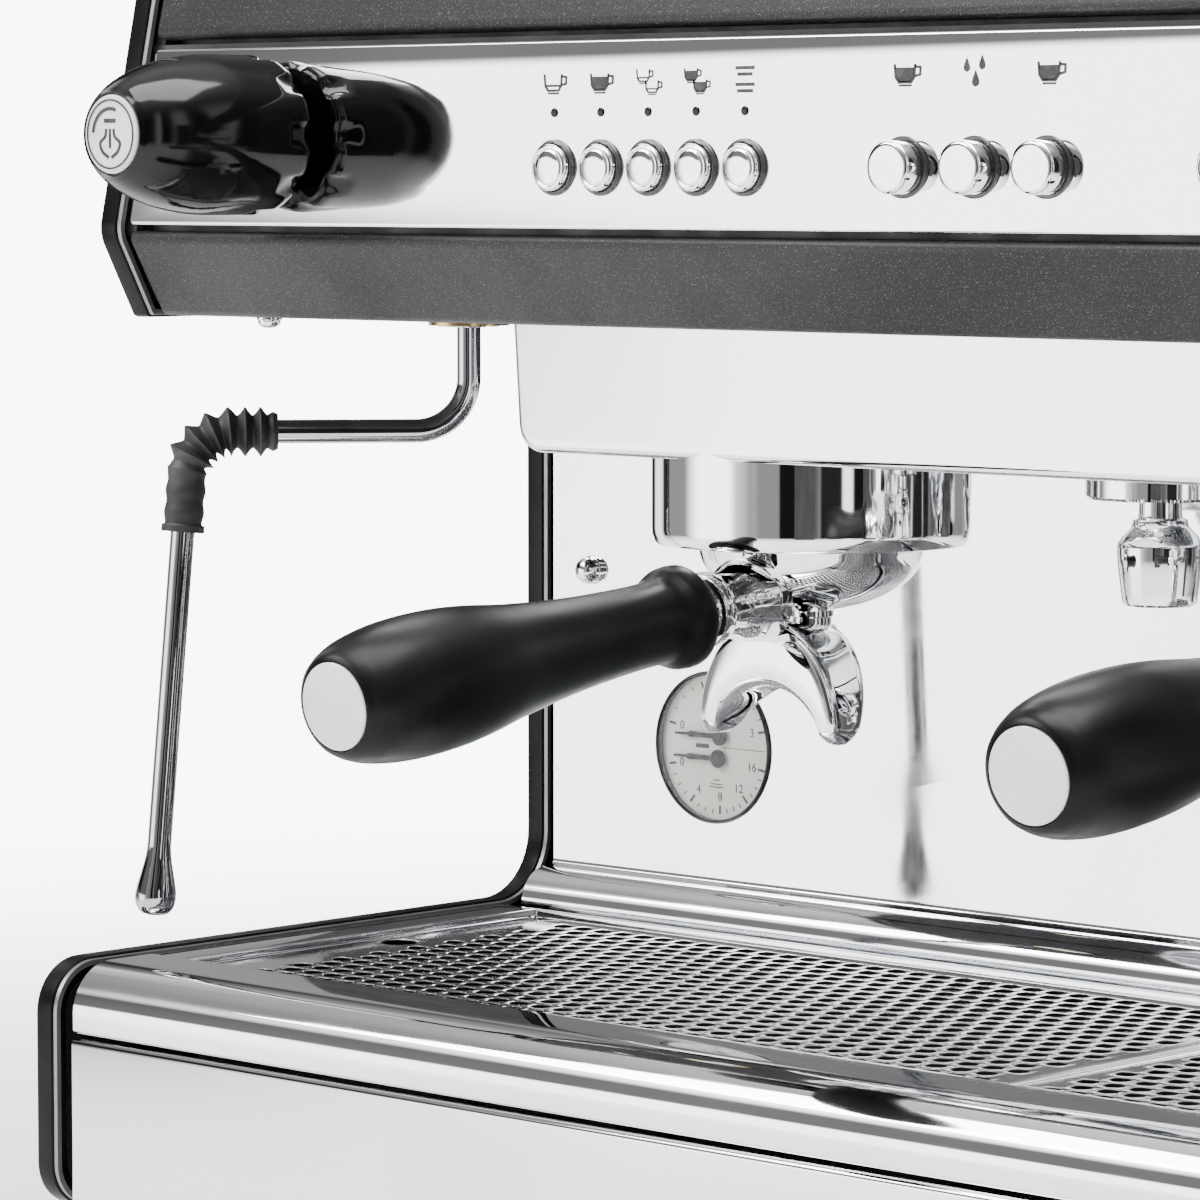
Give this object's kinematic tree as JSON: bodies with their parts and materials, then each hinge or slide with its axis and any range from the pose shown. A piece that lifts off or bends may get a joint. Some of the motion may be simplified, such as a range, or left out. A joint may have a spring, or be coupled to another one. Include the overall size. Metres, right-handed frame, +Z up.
{
  "type": "two-group espresso machine",
  "caption": "Commercial two-group espresso machine with twin portafilters, two steam wands, push-button panel, drip tray and cup rail.",
  "frame": {"origin": "centre of the footprint at the counter, on the centre plane of the middle button; the backsplash front face is the plane Y = 0", "axes": "+Z up, front of the machine faces -Y, +X to the viewer's right when facing the front"},
  "size_m": [0.72, 0.6424, 0.521],
  "materials": {
    "frame_steel": "powder coated",
    "rubber_black": "matt",
    "body_grey": "fine metallic speckle, satin",
    "trim_black": "satin black",
    "steel_polished": "mirror polished stainless",
    "steel_satin": "satin stainless",
    "chrome": "polished chrome plate",
    "plastic_dark": "matt black",
    "handle_black": "soft matt black",
    "knob_black": "gloss black",
    "bezel_dark": "satin dark grey",
    "brass": "as machined",
    "copper": "bright copper",
    "dial_cream": "printed dial under a clear window",
    "pointer_black": "black",
    "pump_grey": "painted",
    "box_grey": "zinc grey"
  },
  "bodies": {
    "machine": {"frame": "frame_steel", "feet": "rubber_black", "side_panels": "body_grey", "edge_trims": "trim_black", "front_panel": "steel_polished", "tray_surround": "steel_polished", "drip_basin": "steel_satin", "waste_cup": "plastic_dark", "backsplash": "steel_polished", "upper_fascia": "body_grey", "control_panel": "steel_satin", "lower_fascia": "body_grey", "fascia_frame": "plastic_dark", "group_cover": "steel_polished", "cup_deck": "steel_polished", "cup_rail": "chrome", "rear_panel": "body_grey", "fasteners": "chrome", "gauge_case": "dial_cream", "dose_bezels": "bezel_dark", "steam_valves": "brass", "group_heads": "brass", "group_bells": "chrome", "hot_water_outlet": "chrome", "boiler": "copper", "pump_unit": "pump_grey", "solenoid_valves": "pump_grey", "control_box": "box_grey", "pipework": "copper", "water_inlet": "brass", "cable_gland": "plastic_dark"},
    "grille_l": {"grille_left": "steel_satin"},
    "grille_r": {"grille_right": "steel_satin"},
    "pointer_boiler": {"gauge_pointer_boiler": "pointer_black"},
    "pointer_pump": {"gauge_pointer_pump": "pointer_black"},
    "button_l1": {"dose_button_l1": "chrome"},
    "button_l2": {"dose_button_l2": "chrome"},
    "button_l3": {"dose_button_l3": "chrome"},
    "button_l4": {"dose_button_l4": "chrome"},
    "button_l5": {"dose_button_l5": "chrome"},
    "button_r1": {"dose_button_r1": "chrome"},
    "button_r2": {"dose_button_r2": "chrome"},
    "button_r3": {"dose_button_r3": "chrome"},
    "button_r4": {"dose_button_r4": "chrome"},
    "button_r5": {"dose_button_r5": "chrome"},
    "button_c_left": {"center_button_left": "chrome"},
    "button_c_mid": {"center_button_mid": "chrome"},
    "button_c_right": {"center_button_right": "chrome"},
    "knob_left": {"steam_knob_left": "knob_black"},
    "wand_left_arm": {"wand_left": "chrome", "wand_sleeve_left": "rubber_black"},
    "portafilter_left_set": {"portafilter_left": "chrome", "filter_basket_left": "steel_satin", "handle_left": "handle_black"},
    "knob_right": {"steam_knob_right": "knob_black"},
    "wand_right_arm": {"wand_right": "chrome", "wand_sleeve_right": "rubber_black"},
    "portafilter_right_set": {"portafilter_right": "chrome", "filter_basket_right": "steel_satin", "handle_right": "handle_black"}
  },
  "joints": [
    {"name": "grille_left_lift", "type": "slide", "parent": "machine", "child": "grille_l", "axis": [0, 0, 1], "range_m": [0, 0.06]},
    {"name": "grille_right_lift", "type": "slide", "parent": "machine", "child": "grille_r", "axis": [0, 0, 1], "range_m": [0, 0.06]},
    {"name": "boiler_pointer_turn", "type": "hinge", "parent": "machine", "child": "pointer_boiler", "pos_m": [-0.2698, 0, 0.1926], "axis": [0, 1, 0], "range_deg": [0, 170]},
    {"name": "pump_pointer_turn", "type": "hinge", "parent": "machine", "child": "pointer_pump", "pos_m": [-0.2704, 0, 0.185], "axis": [0, 1, 0], "range_deg": [-170, 0]},
    {"name": "button_l1_press", "type": "slide", "parent": "machine", "child": "button_l1", "axis": [0, 1, 0], "range_m": [0, 0.0025], "stiffness_N_per_m": 400},
    {"name": "button_l2_press", "type": "slide", "parent": "machine", "child": "button_l2", "axis": [0, 1, 0], "range_m": [0, 0.0025], "stiffness_N_per_m": 400},
    {"name": "button_l3_press", "type": "slide", "parent": "machine", "child": "button_l3", "axis": [0, 1, 0], "range_m": [0, 0.0025], "stiffness_N_per_m": 400},
    {"name": "button_l4_press", "type": "slide", "parent": "machine", "child": "button_l4", "axis": [0, 1, 0], "range_m": [0, 0.0025], "stiffness_N_per_m": 400},
    {"name": "button_l5_press", "type": "slide", "parent": "machine", "child": "button_l5", "axis": [0, 1, 0], "range_m": [0, 0.0025], "stiffness_N_per_m": 400},
    {"name": "button_r1_press", "type": "slide", "parent": "machine", "child": "button_r1", "axis": [0, 1, 0], "range_m": [0, 0.0025], "stiffness_N_per_m": 400},
    {"name": "button_r2_press", "type": "slide", "parent": "machine", "child": "button_r2", "axis": [0, 1, 0], "range_m": [0, 0.0025], "stiffness_N_per_m": 400},
    {"name": "button_r3_press", "type": "slide", "parent": "machine", "child": "button_r3", "axis": [0, 1, 0], "range_m": [0, 0.0025], "stiffness_N_per_m": 400},
    {"name": "button_r4_press", "type": "slide", "parent": "machine", "child": "button_r4", "axis": [0, 1, 0], "range_m": [0, 0.0025], "stiffness_N_per_m": 400},
    {"name": "button_r5_press", "type": "slide", "parent": "machine", "child": "button_r5", "axis": [0, 1, 0], "range_m": [0, 0.0025], "stiffness_N_per_m": 400},
    {"name": "button_c_left_press", "type": "slide", "parent": "machine", "child": "button_c_left", "axis": [0, 1, 0], "range_m": [0, 0.0025], "stiffness_N_per_m": 400},
    {"name": "button_c_mid_press", "type": "slide", "parent": "machine", "child": "button_c_mid", "axis": [0, 1, 0], "range_m": [0, 0.0025], "stiffness_N_per_m": 400},
    {"name": "button_c_right_press", "type": "slide", "parent": "machine", "child": "button_c_right", "axis": [0, 1, 0], "range_m": [0, 0.0025], "stiffness_N_per_m": 400},
    {"name": "knob_left_turn", "type": "hinge", "parent": "machine", "child": "knob_left", "pos_m": [-0.279, -0.194, 0.393], "axis": [0, 1, 0], "range_deg": [0, 300]},
    {"name": "wand_left_swing", "type": "hinge", "parent": "machine", "child": "wand_left_arm", "pos_m": [-0.28, -0.108, 0.345], "axis": [0, 0, 1], "range_deg": [-35, 45]},
    {"name": "portafilter_left_lock", "type": "hinge", "parent": "machine", "child": "portafilter_left_set", "pos_m": [-0.1213, -0.122, 0.28], "axis": [0, 0, 1], "range_deg": [-45, 0]},
    {"name": "knob_right_turn", "type": "hinge", "parent": "machine", "child": "knob_right", "pos_m": [0.279, -0.194, 0.393], "axis": [0, 1, 0], "range_deg": [0, 300]},
    {"name": "wand_right_swing", "type": "hinge", "parent": "machine", "child": "wand_right_arm", "pos_m": [0.28, -0.108, 0.345], "axis": [0, 0, 1], "range_deg": [-45, 35]},
    {"name": "portafilter_right_lock", "type": "hinge", "parent": "machine", "child": "portafilter_right_set", "pos_m": [0.1213, -0.122, 0.28], "axis": [0, 0, 1], "range_deg": [-45, 0]}
  ]
}
